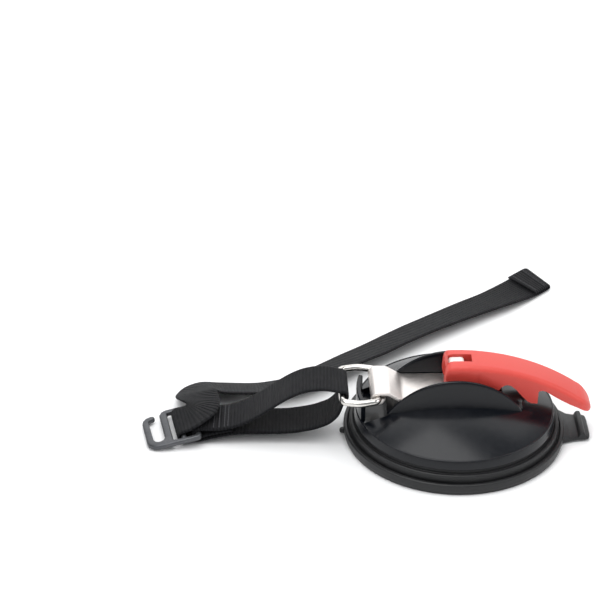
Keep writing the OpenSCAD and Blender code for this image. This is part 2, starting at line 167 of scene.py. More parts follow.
def piece(name, shells, body, nodes, material, bevel=0.0, angle=35, segments=2, sharp=40):
    """One closed piece from shells in millimetres, riding on a body and standing for CAD nodes."""
    verts, faces, base = [], [], 0
    for v, f in shells:
        verts.append(v)
        faces += [[k + base for k in q] for q in f]
        base += len(v)
    mesh = bpy.data.meshes.new(name)
    mesh.from_pydata((np.vstack(verts) * 0.001).tolist(), [], faces)
    bm = bmesh.new()
    bm.from_mesh(mesh)
    bmesh.ops.remove_doubles(bm, verts=bm.verts, dist=2e-6)
    bmesh.ops.dissolve_degenerate(bm, edges=bm.edges, dist=1e-6)
    bmesh.ops.recalc_face_normals(bm, faces=bm.faces)
    for f in bm.faces:
        f.smooth = True
    bm.to_mesh(mesh)
    bm.free()
    mesh.set_sharp_from_angle(angle=math.radians(sharp))
    obj = bpy.data.objects.new(name, mesh)
    scene.collection.objects.link(obj)
    if bevel:
        m = obj.modifiers.new("rounded edges", "BEVEL")
        m.width, m.segments = bevel * 0.001, segments
        m.limit_method, m.angle_limit = "ANGLE", math.radians(angle)
        m.harden_normals = True
    mesh.materials.append(material)
    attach(obj, body)
    if nodes:
        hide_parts(*nodes)
    return obj


# ---------------------------------------------------------------- materials
def socket(group, name, kind, side_, value=None):
    """Named input or output of a node group."""
    s = group.interface.new_socket(name=name, in_out=side_, socket_type=kind)
    if value is not None:
        s.default_value = value


def group(name, inputs, outputs):
    """Empty shader node group with named sockets."""
    g = bpy.data.node_groups.new(name, "ShaderNodeTree")
    for n, k, v in inputs:
        socket(g, n, k, "INPUT", v)
    for n, k in outputs:
        socket(g, n, k, "OUTPUT")
    return g, g.nodes.new("NodeGroupInput"), g.nodes.new("NodeGroupOutput")


def add(tree, kind, **set_):
    """New node with its sockets or settings filled in."""
    node = tree.nodes.new(kind)
    for k, v in set_.items():
        if k in node.inputs:
            node.inputs[k].default_value = v
        else:
            setattr(node, k, v)
    return node


F, C, V = "NodeSocketFloat", "NodeSocketColor", "NodeSocketVector"


def make_mottle():
    """Two sizes of noise that shift a colour between two tones and move the roughness up and down."""
    g, i, o = group("mottle", [("Light tone", C, (1, 1, 1, 1)), ("Dark tone", C, (0, 0, 0, 1)),
                               ("Scale", F, 60.0),
                               ("Roughness", F, 0.5), ("Roughness spread", F, 0.1)], [("Color", C),
        ("Roughness", F)])
    tc = add(g, "ShaderNodeTexCoord")
    big, small = add(g, "ShaderNodeTexNoise", Detail=4.0), add(g, "ShaderNodeTexNoise", Detail=6.0,
        Roughness=0.65)
    ten = add(g, "ShaderNodeMath", operation="MULTIPLY")
    ten.inputs[1].default_value = 9.0
    g.links.new(i.outputs["Scale"], big.inputs["Scale"])
    g.links.new(i.outputs["Scale"], ten.inputs[0])
    g.links.new(ten.outputs[0], small.inputs["Scale"])
    for n in (big, small):
        g.links.new(tc.outputs["Object"], n.inputs["Vector"])
    mean = add(g, "ShaderNodeMath", operation="ADD")
    g.links.new(big.outputs[0], mean.inputs[0])
    g.links.new(small.outputs[0], mean.inputs[1])
    spread = add(g, "ShaderNodeMapRange", **{"From Min": 0.7, "From Max": 1.3})
    g.links.new(mean.outputs[0], spread.inputs["Value"])
    mix = add(g, "ShaderNodeMix", data_type="RGBA")
    g.links.new(spread.outputs[0], mix.inputs[0])
    g.links.new(i.outputs["Dark tone"], mix.inputs[6])
    g.links.new(i.outputs["Light tone"], mix.inputs[7])
    centred = add(g, "ShaderNodeMath", operation="SUBTRACT")
    centred.inputs[1].default_value = 0.5
    g.links.new(spread.outputs[0], centred.inputs[0])
    scaled = add(g, "ShaderNodeMath", operation="MULTIPLY_ADD")
    g.links.new(centred.outputs[0], scaled.inputs[0])
    g.links.new(i.outputs["Roughness spread"], scaled.inputs[1])
    g.links.new(i.outputs["Roughness"], scaled.inputs[2])
    g.links.new(mix.outputs[2], o.inputs["Color"])
    g.links.new(scaled.outputs[0], o.inputs["Roughness"])
    return g


def make_grain():
    """Fine height pattern: noise stretched by Stretch, for moulded grain or brushing."""
    g, i, o = group("grain", [("Scale", F, 900.0), ("Stretch", V, (1, 1, 1))], [("Height", F)])
    tc, mp = add(g, "ShaderNodeTexCoord"), add(g, "ShaderNodeMapping")
    n = add(g, "ShaderNodeTexNoise", Detail=3.0)
    g.links.new(tc.outputs["Object"], mp.inputs["Vector"])
    g.links.new(i.outputs["Stretch"], mp.inputs["Scale"])
    g.links.new(mp.outputs[0], n.inputs["Vector"])
    g.links.new(i.outputs["Scale"], n.inputs["Scale"])
    g.links.new(n.outputs[0], o.inputs["Height"])
    return g


def make_dust():
    """Pale dust in blotches on faces that look up."""
    g, i, o = group("dust", [("Color", C, (0, 0, 0, 1)), ("Dust", C, (0.5, 0.48, 0.45, 1)),
                             ("Amount", F, 0.1)], [("Color", C)])
    tc, geo = add(g, "ShaderNodeTexCoord"), add(g, "ShaderNodeNewGeometry")
    n, sep = add(g, "ShaderNodeTexNoise", Scale=240.0, Detail=8.0, Roughness=0.7), add(g,
        "ShaderNodeSeparateXYZ")
    g.links.new(tc.outputs["Object"], n.inputs["Vector"])
    g.links.new(geo.outputs["Normal"], sep.inputs[0])
    spots = add(g, "ShaderNodeMapRange", **{"From Min": 0.5, "From Max": 0.75})
    g.links.new(n.outputs[0], spots.inputs["Value"])
    up = add(g, "ShaderNodeMapRange", **{"From Min": 0.0, "From Max": 1.0})
    g.links.new(sep.outputs["Z"], up.inputs["Value"])
    m1, m2 = add(g, "ShaderNodeMath", operation="MULTIPLY"), add(g, "ShaderNodeMath", operation="MULTIPLY")
    g.links.new(spots.outputs[0], m1.inputs[0])
    g.links.new(up.outputs[0], m1.inputs[1])
    g.links.new(m1.outputs[0], m2.inputs[0])
    g.links.new(i.outputs["Amount"], m2.inputs[1])
    mix = add(g, "ShaderNodeMix", data_type="RGBA")
    g.links.new(m2.outputs[0], mix.inputs[0])
    g.links.new(i.outputs["Color"], mix.inputs[6])
    g.links.new(i.outputs["Dust"], mix.inputs[7])
    g.links.new(mix.outputs[2], o.inputs["Color"])
    return g


def make_weave():
    """Webbing on a UV map in metres: rows of weft ribs across the length and warp threads that step from
    row to row, with painted shade in the gaps between them: the colour darkens where the weave is low."""
    g, i, o = group("weave", [("Rib pitch", F, 0.0019), ("Thread pitch", F, 0.0008),
                              ("Thread tone", C, (0.05, 0.05, 0.05, 1)),
                              ("Gap tone", C, (0.01, 0.01, 0.01, 1))], [("Color", C), ("Height", F)])
    uv, sep = add(g, "ShaderNodeUVMap"), add(g, "ShaderNodeSeparateXYZ")
    g.links.new(uv.outputs[0], sep.inputs[0])

    def math_(op, a, b=None, c=None):
        """Maths node on up to three numbers or sockets; returns its output."""
        n = add(g, "ShaderNodeMath", operation=op)
        for k, v in enumerate((a, b, c)):
            if v is None:
                continue
            if isinstance(v, float):
                n.inputs[k].default_value = v
            else:
                g.links.new(v, n.inputs[k])
        return n.outputs[0]

    along = math_("DIVIDE", sep.outputs["Y"], i.outputs["Rib pitch"])
    across = math_("DIVIDE", sep.outputs["X"], i.outputs["Thread pitch"])
    row = math_("FLOOR", along)
    rib = math_("ABSOLUTE", math_("SINE", math_("MULTIPLY", along, pi)))
    shifted = math_("ADD", across, math_("MULTIPLY", row, 0.5))
    thread = math_("ABSOLUTE", math_("SINE", math_("MULTIPLY", shifted, pi)))
    fuzz = add(g, "ShaderNodeTexNoise", Scale=2500.0, Detail=2.0)
    g.links.new(uv.outputs[0], fuzz.inputs["Vector"])
    body = math_("ADD", math_("MULTIPLY", rib, 0.65), math_("MULTIPLY", thread, 0.35))
    height = math_("ADD", body, math_("MULTIPLY", fuzz.outputs[0], 0.25))
    # colour follows the weave's height: painted shade in the gaps between ribs and threads, thread tone on
    # their crowns
    mix = add(g, "ShaderNodeMix", data_type="RGBA")
    g.links.new(body, mix.inputs[0])
    g.links.new(i.outputs["Gap tone"], mix.inputs[6])
    g.links.new(i.outputs["Thread tone"], mix.inputs[7])
    g.links.new(mix.outputs[2], o.inputs["Color"])
    g.links.new(height, o.inputs["Height"])
    return g


mottle, grain, dust, weave = make_mottle(), make_grain(), make_dust(), make_weave()


def place(tree, g, **values):
    """Node group placed in a material with its own values."""
    n = tree.nodes.new("ShaderNodeGroup")
    n.node_tree = g
    for k, v in values.items():
        n.inputs[k.replace("_", " ")].default_value = v
    return n


def finish_of(name, light, dark, rough, spread, scale=60.0, bump=0.0, grain_scale=900.0, stretch=(1, 1, 1),
              dusty=0.05, depth=0.0002, **shader):
    """Plastic, rubber or metal: mottled colour and roughness, fine grain and a little dust."""
    m = bpy.data.materials.new(name)
    m.use_nodes = True
    t = m.node_tree
    p = t.nodes["Principled BSDF"]
    a = place(t, mottle, Light_tone=(*light, 1), Dark_tone=(*dark, 1),
              Scale=scale, Roughness=rough, Roughness_spread=spread)
    d = place(t, dust, Amount=dusty)
    t.links.new(a.outputs["Color"], d.inputs["Color"])
    t.links.new(d.outputs["Color"], p.inputs["Base Color"])
    t.links.new(a.outputs["Roughness"], p.inputs["Roughness"])
    if bump:
        gr = place(t, grain, Scale=grain_scale, Stretch=stretch)
        b = add(t, "ShaderNodeBump", Strength=bump, Distance=depth)
        t.links.new(gr.outputs["Height"], b.inputs["Height"])
        t.links.new(b.outputs["Normal"], p.inputs["Normal"])
    for k, v in shader.items():
        p.inputs[k.replace("_", " ")].default_value = v
    return m


rubber = finish_of("satin rubber", (0.013, 0.0135, 0.0145), (0.006, 0.0062, 0.0068),
                   0.46, 0.14, 45, 0.10, 1600,
                   dusty=0.03, Specular_IOR_Level=0.42)
gloss_black = finish_of("gloss black plastic", (0.0040, 0.0052, 0.0078), (0.0024, 0.0032, 0.0052),
                        0.22, 0.05, 30, 0.015, 300,
                        dusty=0.010, Specular_IOR_Level=0.34)
coral = finish_of("coral red plastic", (0.67, 0.068, 0.052), (0.64, 0.060, 0.046),
                  0.46, 0.06, 40, 0.03, 1200, dusty=0.0,
                  Subsurface_Weight=0.06, Subsurface_Radius=(0.004, 0.0015, 0.001), Subsurface_Scale=1.0)
steel = finish_of("satin steel strip", (0.91, 0.86, 0.825), (0.80, 0.755, 0.72),
                  0.42, 0.12, 50, 0.08, 700, (0.08, 1, 1), 0.0,
                  Metallic=1.0)
nickel = finish_of("bright nickel wire", (0.74, 0.72, 0.69), (0.62, 0.60, 0.57),
                   0.17, 0.08, 80, 0.03, 500, dusty=0.0, Metallic=1.0)
nylon = finish_of("white nylon", (0.84, 0.82, 0.77), (0.77, 0.75, 0.70), 0.42, 0.1, 50, 0.05, 900, dusty=0.0,
                  Subsurface_Weight=0.1, Subsurface_Radius=(0.003, 0.003, 0.0025), Subsurface_Scale=1.0)
zinc = finish_of("grey cast metal", (0.115, 0.118, 0.125), (0.065, 0.067, 0.072),
                 0.40, 0.14, 90, 0.2, 900, dusty=0.0, Metallic=0.7)
thread = finish_of("black thread", (0.045, 0.045, 0.05), (0.028, 0.028, 0.032),
                   0.6, 0.1, 400, 0.4, 5000, (1, 1, 1), 0.0)

webbing = bpy.data.materials.new("black webbing")
webbing.use_nodes = True
wt = webbing.node_tree
wp = wt.nodes["Principled BSDF"]
# the webbing's gaps get a painted shade, far darker than the thread tone
wn = place(wt, weave, Thread_tone=(0.0085, 0.0087, 0.0108, 1), Gap_tone=(0.001, 0.001, 0.0014, 1))
wd = place(wt, dust, Amount=0.02)
wb = add(wt, "ShaderNodeBump", Strength=1.0, Distance=0.0006)
wt.links.new(wn.outputs["Color"], wd.inputs["Color"])
wt.links.new(wd.outputs["Color"], wp.inputs["Base Color"])
wt.links.new(wn.outputs["Height"], wb.inputs["Height"])
wt.links.new(wb.outputs["Normal"], wp.inputs["Normal"])
wp.inputs["Roughness"].default_value = 0.62
wp.inputs["Specular IOR Level"].default_value = 0.13
wp.inputs["Sheen Weight"].default_value = 0.03
wp.inputs["Sheen Roughness"].default_value = 0.4

# ---------------------------------------------------------------- suction pad
SKIRT, RIM, RIM_Z, APEX = 55.0, 53.75, 17.3, 28.8
pad_outline = filleted(
    [(0, 7.2), (20, 7.0), (36, 6.2), (46, 4.2), (51.5, 1.1), (52.9, 0.0), (59.6, 0.0), (60.3, 2.6),
     (60.3, 6.3), (58.4, 6.3),
     (57.6, 5.3), (57.2, 5.3), (57.2, 9.2), (56.9, 10.3), (55.4, 10.3), (54.3, 9.4), (54.1, 12.1),
     (51.4, 12.1), (46, 8.6),
     (36, 9.6), (20, 10.4), (17, 13.6), (0, 13.6)],
    [0, 9, 12, 9, 3, 0.7, 0.6, 2.0, 0.9, 0.9, 0.5, 0.3, 1.2, 0.9, 0.9, 0.5, 0.4, 1, 6, 6, 2, 1, 0],
                       7, closed=False)
pad_outline[:, 0] = np.maximum(pad_outline[:, 0], 0)


def tab_sections():
    """Pull tab: cross-sections along X, narrower and thinner towards the end, with a raised grip rib and a
    round tip."""
    xs = np.r_[np.linspace(57.5, 72.2, 26), 72.9, 73.5, 73.95, 74.2]
    half = interp(xs, [(57.5, 14.6), (60.3, 13.4), (64, 12.2), (68, 11.4), (72.2, 11.1), (72.9, 10.9),
                       (73.5, 10.2), (73.95, 8.6), (74.2, 6.5)])
    top = interp(xs, [(57.5, 5.6), (60.6, 4.6), (63, 3.5), (67.6, 3.3), (68.1, 5.0), (68.8, 5.9), (70.4, 5.9),
                      (71.1, 5.0), (71.6, 3.4), (73.5, 3.0), (74.2, 2.2)])
    low = interp(xs, [(57.5, 1.0), (61, 0.9), (73.5, 0.9), (74.2, 1.4)])
    rows = []
    for x, w, t, b in zip(xs, half, top, low):
        r = min((t - b) * 0.45, 1.1)
        o = filleted([(-w, b), (w, b), (w, t), (-w, t)], r, 5)
        rows.append(np.column_stack([np.full(len(o), x), o]))
    return np.array(rows)


nub = turned(filleted([(0, 1.2), (1.9, 1.2), (1.9, 3.6), (0, 3.6)], [0, 0.6, 0.8, 0], 5, closed=False),
             24, (-60.6, 0))
pad = piece("suction_pad_rubber", [turned(pad_outline, 192), loft(tab_sections()), nub],
            "cup", ["suction_pad"], rubber, sharp=50)
pad.parent = None

# ---------------------------------------------------------------- housing
ARC = (RIM ** 2 + (APEX - RIM_Z) ** 2) / (2 * (APEX - RIM_Z))
FIN = 14.3
BED_Z = 27.9
STEM_HOLE = 4.6
WELL_HALF = 16.5


def dome(x, y):
    """Height of the dome: a shallow sphere through the rim."""
    return APEX - ARC + np.sqrt(ARC ** 2 - x ** 2 - y ** 2)


def dome_side(s):
    """Half of the dome outside a fin: rows run from the rim's arc straight in to the fin's foot; the
    underside comes back 2.6 lower."""
    n, k = 97, 26
    foot_y = FIN
    a0 = math.asin(WELL_HALF / RIM)
    a = np.linspace(math.asin(foot_y / RIM), pi - a0, n)
    rim = np.stack([RIM * np.cos(a), RIM * np.sin(a)], -1)
    fx = np.linspace(rim[0, 0] - 0.01, rim[-1, 0] + 0.01, n)
    fy = np.where(fx < -38, WELL_HALF, foot_y)
    f = np.linspace(0, 1, k)[:, None, None]
    xy = rim * (1 - f) + np.stack([fx, fy], -1) * f
    z = dome(xy[..., 0], xy[..., 1])
    top = np.concatenate([xy, z[..., None]], -1)
    low = top[::-1].copy()
    low[..., :2] *= 0.999
    low[..., 2] -= 2.6
    loop = np.concatenate([top, low])
    loop[..., 1] *= s
    return loft(loop.transpose(1, 0, 2))


def bed(y0, y1, side_of_stem=0):
    """Strip between the fins from y0 to y1: the bed, a pocket, the ramp, and then the dome out to the rim.
    The underside runs 2.7 below the dome, and level at 22.6 under the pocket. side_of_stem, 1 or -1, keeps
    only the part beyond the stem's hole on that side along X, closed by an upright wall."""
    lead = filleted([(-38, 20.3), (-38, 23.2), (-30.3, 25.3), (-30, 27.9), (19.5, 27.9), (19.5, 23.9),
                     (24.9, 23.9), (24.9, 27.7), (25.6, 27.9), (35.5, 23.95)],
                    [0, 0.5, 0.5, 0.7, 0.5, 0.6, 0.6, 0.3, 0.3, 0], 5, closed=False)
    rows = []
    for y in np.linspace(y0, y1, 9):
        edge = math.sqrt(RIM ** 2 - y * y)
        run_out = np.linspace(35.7, edge, 20)
        top = np.vstack([lead, np.column_stack([run_out, dome(run_out, y)])])
        xs = np.r_[np.linspace(edge - 0.3, 26.5, 8), 26.0, 18.4, 17.9, np.linspace(17, -37.8, 16)]
        low = np.column_stack([xs, np.where((xs > 18) & (xs < 26.2), 22.6, dome(xs, y) - 2.7)])
        line = np.vstack([top, low])
        if side_of_stem:
            keep, cut = line[:, 0] * side_of_stem > STEM_HOLE, STEM_HOLE * side_of_stem
            wall = np.array([(cut, dome(cut, y) - 2.7), (cut, BED_Z)])
            kept, on_top = line[keep], np.sum(keep[:len(top)])
            line = np.vstack([kept, wall] if side_of_stem > 0 else [kept[:on_top], wall[::-1], kept[on_top:]])
        rows.append(np.column_stack([line[:, 0], np.full(len(line), y), line[:, 1]]))
    return loft(np.array(rows))


def fin(s):
    """Upright cheek: its top edge is an arc of radius 43, its outside bulges in plan and leans in towards
    the top."""
    a = np.radians(np.linspace(30.5, 149.0, 90))
    rows = []
    for t in a:
        x, top = -1 + 43 * math.cos(t), 43 * math.sin(t)
        z = np.linspace(min(19.0, top - 3), top - 0.7, 12)
        r = 200 - (z - 27.9) * 1.9 / 15
        out = -181.8 + np.sqrt(r ** 2 - (x + 1) ** 2)
        out = np.maximum(out, FIN + 1.0)
        e = out[-1]
        m = (FIN + e) / 2
        cap = [(e - 0.25, top - 0.22), (e - 0.75, top), (m - 0.2, top), (FIN + 0.25, top - 0.2)]
        loop = np.vstack([np.column_stack([out, z]), cap, np.column_stack([np.full(12, FIN), z[::-1]])])
        rows.append(np.column_stack([np.full(len(loop), x), s * loop[:, 0], loop[:, 1]]))
    return loft(np.array(rows))


def end_wall():
    """Wall below the ring: an arc of the rim, 28 wide, with a rounded top."""
    a = np.linspace(pi - 0.262, pi + 0.262, 25)
    sec = filleted([(51.3, 15.2), (RIM + 0.02, 15.2), (RIM + 0.02, 29.2), (51.3, 29.2)], [0, 0, 0.8, 0.8], 6)
    return loft(np.stack([np.column_stack([sec[:, 0] * math.cos(t), sec[:, 0] * math.sin(t), sec[:, 1]])
                          for t in a]))


def well_side(s):
    """Side wall of the pocket under the ring's eye."""
    xs = np.linspace(-51.2, -38, 14)
    rows = []
    for x in xs:
        y0, y1 = 16.5, min(18.2, math.sqrt(53.5 ** 2 - x * x) if abs(x) < 53.5 else 16.6)
        y1 = max(y1, y0 + 0.1)
        rows.append([(x, s * y0, 15.0), (x, s * y1, 15.0), (x, s * y1, dome(x, y1) - 0.15),
                     (x, s * y0, dome(x, y0) - 0.02)])
    return loft(np.array(rows))


skirt = turned(filleted([(RIM - 2.9, 12.3), (SKIRT, 12.1), (RIM + 0.05, RIM_Z - 0.1),
                         (RIM - 0.9, RIM_Z + 0.05), (RIM - 2.9, RIM_Z - 0.6)],
                        [0.3, 0.5, 0.35, 0.3, 0.2], 6), 192)
bead_turn = np.linspace(0, 2 * pi, 12, endpoint=False)
rim_bead = turned(np.column_stack([RIM - 0.15 + 0.6 * np.cos(bead_turn), RIM_Z - 0.15 + 0.6
                                   * np.sin(bead_turn)]), 192)
stem_guide = turned(filleted([(STEM_HOLE, 15.2), (7.5, 15.2), (7.5, 26.4), (STEM_HOLE, 26.4)], 0.4, 4), 64)
well_floor = extruded([(-51.4, 14.2), (-37.9, 14.2), (-37.9, 15.5), (-51.4, 15.5)], -16.8, 16.8)
well_front = extruded([(-38.6, 14.4), (-37.2, 14.4), (-37.2, 22.9), (-38.0, 22.7)], -16.8, 16.8)
piece("housing_moulding", [skirt, dome_side(1), dome_side(-1), bed(-FIN - 0.05, -STEM_HOLE),
                           bed(STEM_HOLE, FIN + 0.05),
                                     bed(-4.62, 4.62, 1), bed(-4.62, 4.62, -1), fin(1), fin(-1), end_wall(),
                           well_side(1), well_side(-1), rim_bead, stem_guide,
                                     well_floor, well_front], "cup", ["housing"],
      gloss_black, sharp=32)

# ---------------------------------------------------------------- anchor plate, ring, stem, pin
EYE = np.array([-42.9, 31.2])
PIN_Z = 40.5
PLATE_HALF = 13.8


def strip(path, half, thick, edge=0.45):
    """Steel strip along a path in X-Z, across from -half to half, with rounded long edges."""
    p = np.asarray(path, float)
    t = np.gradient(p, axis=0)
    t /= np.linalg.norm(t, axis=1)[:, None]
    nrm = np.stack([-t[:, 1], t[:, 0]], 1)
    sec = filleted([(-half, -thick / 2), (half, -thick / 2), (half, thick / 2), (-half, thick / 2)], edge, 4)
    rows = p[:, None] + nrm[:, None] * sec[None, :, 1:2]
    return loft(np.stack([rows[..., 0], np.broadcast_to(sec[:, 0], rows.shape[:2]), rows[..., 1]], -1))


curl = EYE + 2.96 * np.column_stack([np.cos(np.radians(np.arange(90, 366, 7.5))),
                                     np.sin(np.radians(np.arange(90, 366, 7.5)))])
plate_top_line = filleted([(-6.4, 28.9), (-29.3, 28.9), (-37.4, 34.0), (-42.9, 34.16)], [0, 6, 5, 0],
                          10, closed=False)
plate_path = np.vstack([plate_top_line, curl[1:]])


def plate_head():
    """Plate round the stem's hole: rings from the hole's circle out to the straight sides."""
    a = np.radians(np.arange(0, 360, 3.75))
    d = np.stack([np.cos(a), np.sin(a)], 1)
    reach = np.minimum(np.where(d[:, 0] > 0, 14.0, 6.45) / np.maximum(abs(d[:, 0]), 1e-6),
                       13.8 / np.maximum(abs(d[:, 1]), 1e-6))
    inner, outer = d * 5.3, d * reach[:, None]
    loop = [np.column_stack([inner, np.full(len(a), 27.9)]), np.column_stack([outer, np.full(len(a), 27.9)]),
            np.column_stack([outer, np.full(len(a), 29.9)]), np.column_stack([inner, np.full(len(a), 29.9)])]
    return loft(np.array(loop).transpose(1, 0, 2), ring=True)


piece("anchor_plate_strip", [strip(plate_path, PLATE_HALF, 2.0), plate_head()], "cup", ["anchor_plate"],
      steel, sharp=40)

ring_line = filleted([(-42.9, -16.3), (-52.4, -18.5), (-62.1, -16.3), (-62.1, 16.3), (-52.4, 18.5),
                      (-42.9, 16.3)], [3.4, 14, 3.4, 3.4, 14, 3.4], 14)
ring_path = np.column_stack([ring_line, np.full(len(ring_line), EYE[1])])
piece("ring_wire", [tube(ring_path, 1.9, 20)], "ring", ["d_ring"], nickel, sharp=60)

head = filleted([(-4.3, 34.2), (4.3, 34.2), (4.3, 46.9), (-4.3, 46.9)], [0.6, 0.6, 2.0, 2.0], 8)
piece("stem_moulding", [
    turned(filleted([(0, 9.4), (13, 9.4), (13, 11.8), (4.5, 11.8), (4.5, 29.4), (0, 29.4)],
                    [0, 0.5, 0.5, 0.8, 0.3, 0], 5, closed=False), 96),
    extruded([(-3.1, 27), (3.1, 27), (3.1, 35), (-3.1, 35)], -3.2, 3.2), extruded(head, -3.2, 3.2)],
    "stem", ["pad_stem"], nylon, bevel=0.5, angle=60, segments=3)


def round_bar(c, radius, half, chamfer=0.3, n=48):
    """Round bar along Y about the point c in X-Z, with chamfered ends."""
    ys = [-half, -half + chamfer, half - chamfer, half]
    rs = [radius - chamfer, radius, radius, radius - chamfer]
    a = np.linspace(0, 2 * pi, n, endpoint=False)
    return loft(np.stack([np.column_stack([c[0] + r * np.cos(a), np.full(n, y), c[1] + r * np.sin(a)])
                          for y, r in zip(ys, rs)]))


piece("pivot_pin_steel", [round_bar((0, PIN_Z), 2.0, 9.8)], "stem", ["pivot_pin"],
      steel, sharp=30)

# ---------------------------------------------------------------- lever
SOLID_TIP_X = 71.3
CAM_RISE = 2.2918


def back(x):
    """Height of the lever's arched back: an arc of radius 115, then the drop of the tip."""
    x = np.asarray(x, float)
    arc = PIN_Z + 7.8 - 115 + np.sqrt(115 ** 2 - x ** 2)
    return np.where(x < 66, arc, interp(x, [(66, 27.4), (68.5, 25.9), (70.6, 24.2), (72.2, 22.4),
                                            (73.3, 20.7), (74.0, 19.2), (74.2, 18.5)]))


under = [(11, 30.0), (14, 31.1), (21, 31.9), (22.6, 33.4), (23.8, 35.2), (25.4, 36.4), (27.2, 36.7),
         (29, 36.1), (31.6, 34.0), (35.4, 29.3), (38.6, 25.9), (40.6, 24.8), (43.5, 24.6),
         (43.95, 24.9), (44.05, 31.6), (44.6, 32.5), (46.4, 32.7), (48, 32.3), (52.1, 29.4),
         (56.7, 26.4), (61.7, 23.5), (66, 21.5), (69, 19.7), (71.8, 18.0), (73.2, 17.7), (74.0, 17.9),
         (74.2, 18.3)]


def half_plan(x):
    """Half width of the lever, straight and then a round tip of radius 7.2."""
    return np.where(x < 67, 10.0, 2.8 + np.sqrt(np.maximum(7.2 ** 2 - (x - 67) ** 2, 0)))


def channel():
    """Hollow part of the lever: an arch section with rounded shoulders, open below."""
    xs = np.unique(np.r_[np.linspace(11, 66, 90), np.linspace(66, 74.2, 30), [q[0] for q in under],
                         71.25, 71.4])
    rows = []
    for x in xs:
        w, t, b = float(half_plan(x)), float(back(x)), float(interp(x, under))
        t = max(t, b + 0.15)
        r = min(3.0, (t - b) * 0.6, w * 0.8)
        a = np.linspace(0, pi / 2, 8)
        right = np.column_stack([w - r + r * np.cos(a), t - r + r * np.sin(a)])
        outer = np.vstack([[(w, b)], right, right[::-1] * [-1, 1], [(-w, b)]])
        wi, ti = max(w - 2.4, 0.3), max(t - 2.4, b + 0.02)
        if x > SOLID_TIP_X:
            ti = b + 0.02
        ri = min(1.6, (ti - b) * 0.6, wi * 0.8)
        left = np.column_stack([-wi + ri - ri * np.cos(a), ti - ri + ri * np.sin(a)])
        inner = np.vstack([[(-wi, b)], left, (left * [-1, 1])[::-1], [(wi, b)]])
        sec = np.vstack([outer, inner])
        rows.append(np.column_stack([np.full(len(sec), x), sec]))
    return loft(np.array(rows))


cam_turn = np.radians(np.linspace(0, 95, 20))
cam_reach = 10.55 - CAM_RISE * cam_turn
cam_x = -cam_reach * np.sin(cam_turn) + CAM_RISE * np.cos(cam_turn)
cam_z = PIN_Z - cam_reach * np.cos(cam_turn) - CAM_RISE * np.sin(cam_turn)
cheek_side = np.vstack([np.column_stack([cam_x, cam_z]), [(-6.6, 42.0), (-6.25, 44.0), (-5.7, 45.8),
    (-4.8, 47.2), (-3.4, 48.0)],
                        np.column_stack([np.linspace(-2, 11.6, 12), back(np.linspace(-2, 11.6, 12))]),
                        [(11.6, 30.3), (11, 29.95)]])


def cheek(s):
    """Solid side of the lever at its pivot, from the head's slot to the outside, its outer top edge
    rounded."""
    ys = [3.6, 3.6 + 1e-3, 7.0, 8.2, 9.1, 9.7, 10.0]
    drop = [0.0, 0.0, 0.0, 0.22, 0.75, 1.6, 3.0]
    rows = []
    for y, d in zip(ys, drop):
        q = cheek_side.copy()
        top = back(np.clip(q[:, 0], -3, 12))
        q[:, 1] = np.where(q[:, 1] > top - d, np.minimum(q[:, 1], top - d), q[:, 1])
        q[:, 0] = np.where(q[:, 0] < -7.0 + d * 0.35, -7.0 + d * 0.35, q[:, 0])
        rows.append(np.column_stack([q[:, 0], np.full(len(q), s * y), q[:, 1]]))
    return loft(np.array(rows))


lip = [(x, float(back(x))) for x in (8.2, 9.5, 11.4)]
bridge_out = extruded([(8.2, 45.9), (11.4, 45.6)] + lip[::-1], -3.7, 3.7)
bridge_in = extruded([(-6.15, 45.0), (-4.8, 45.6), (-4.8, 48.1), (-5.2, 46.9), (-5.7, 45.9)], -3.7, 3.7)
piece("lever_moulding", [channel(), cheek(1), cheek(-1), bridge_out, bridge_in], "lever", ["lever"],
      coral, sharp=38)

# ---------------------------------------------------------------- strap
WEB_HALF, WEB_THICK = 12.5, 1.5


def across(c, turn, half=WEB_HALF):
    """Both edges of the webbing at the point c: far edge, near edge."""
    t = math.radians(turn)
    v = np.array([-math.sin(t), math.cos(t), 0]) * half
    return np.r_[np.add(c, v), np.subtract(c, v)]


def tail_line(x, y, z, plan, slope):
    """Both edges of the tail: the far one at x, y, z, and the near one a webbing's width away, turned by plan
    degrees and raised by slope degrees."""
    p, q = math.radians(plan), math.radians(slope)
    far = np.array([x, y, z])
    way = np.array([math.cos(q) * math.cos(p), math.cos(q) * math.sin(p), math.sin(q)])
    return np.r_[far, far + 2 * WEB_HALF * way]


def wrap(c, r, a0, a1, turn):
    """Edge pairs of the webbing on an arc of radius r round a bar at c, from angle a0 to a1."""
    t = math.radians(turn)
    return [across((c[0] + r * math.cos(a) * math.cos(t), c[1] + r * math.cos(a) * math.sin(t),
                    c[2] + r * math.sin(a)), turn)
            for a in np.radians(np.linspace(a0, a1, 7))]


def on_buckle(a, up, b=0.0):
    """Point on the buckle: a from its outer end, b across, up from its lower face."""
    rise_, turn = math.radians(10), math.radians(9)
    u = a * math.cos(rise_) - up * math.sin(rise_)
    return (-168.8 + u * math.cos(turn) - b * math.sin(turn), -0.5 + u * math.sin(turn) + b * math.cos(turn),
            a * math.sin(rise_) + up * math.cos(rise_))


